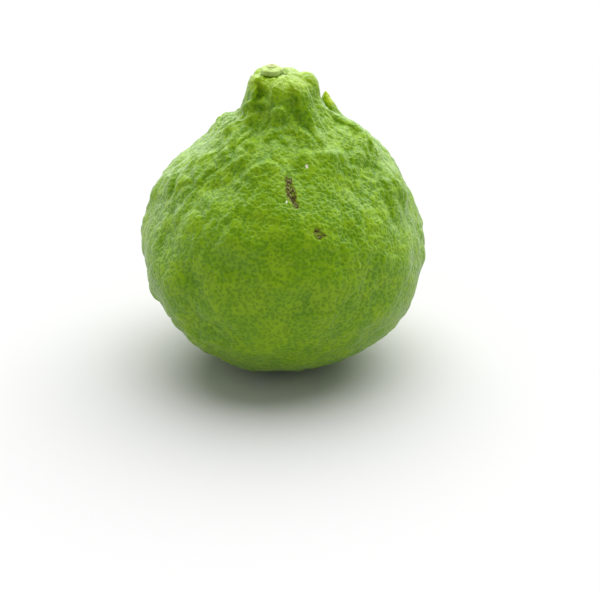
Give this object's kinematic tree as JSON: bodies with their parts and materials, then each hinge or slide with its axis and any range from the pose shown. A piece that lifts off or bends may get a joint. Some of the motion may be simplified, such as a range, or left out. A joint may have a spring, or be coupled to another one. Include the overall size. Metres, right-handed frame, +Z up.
{
  "type": "bergamot orange",
  "caption": "Whole bergamot orange with a lumpy green rind and a short ribbed neck, standing on its blossom end with a calyx button on the crown.",
  "frame": {"origin": "centre of the small flat under the blossom end, on the surface the fruit stands on", "axes": "+Z up along the core towards the stalk end; -Y is the side that faces the front"},
  "size_m": [0.0713, 0.0698, 0.0777],
  "materials": {
    "rind": "satin",
    "calyx": "matte"
  },
  "bodies": {
    "root": {"fruit": "rind", "calyx_button": "calyx"}
  },
  "joints": []
}
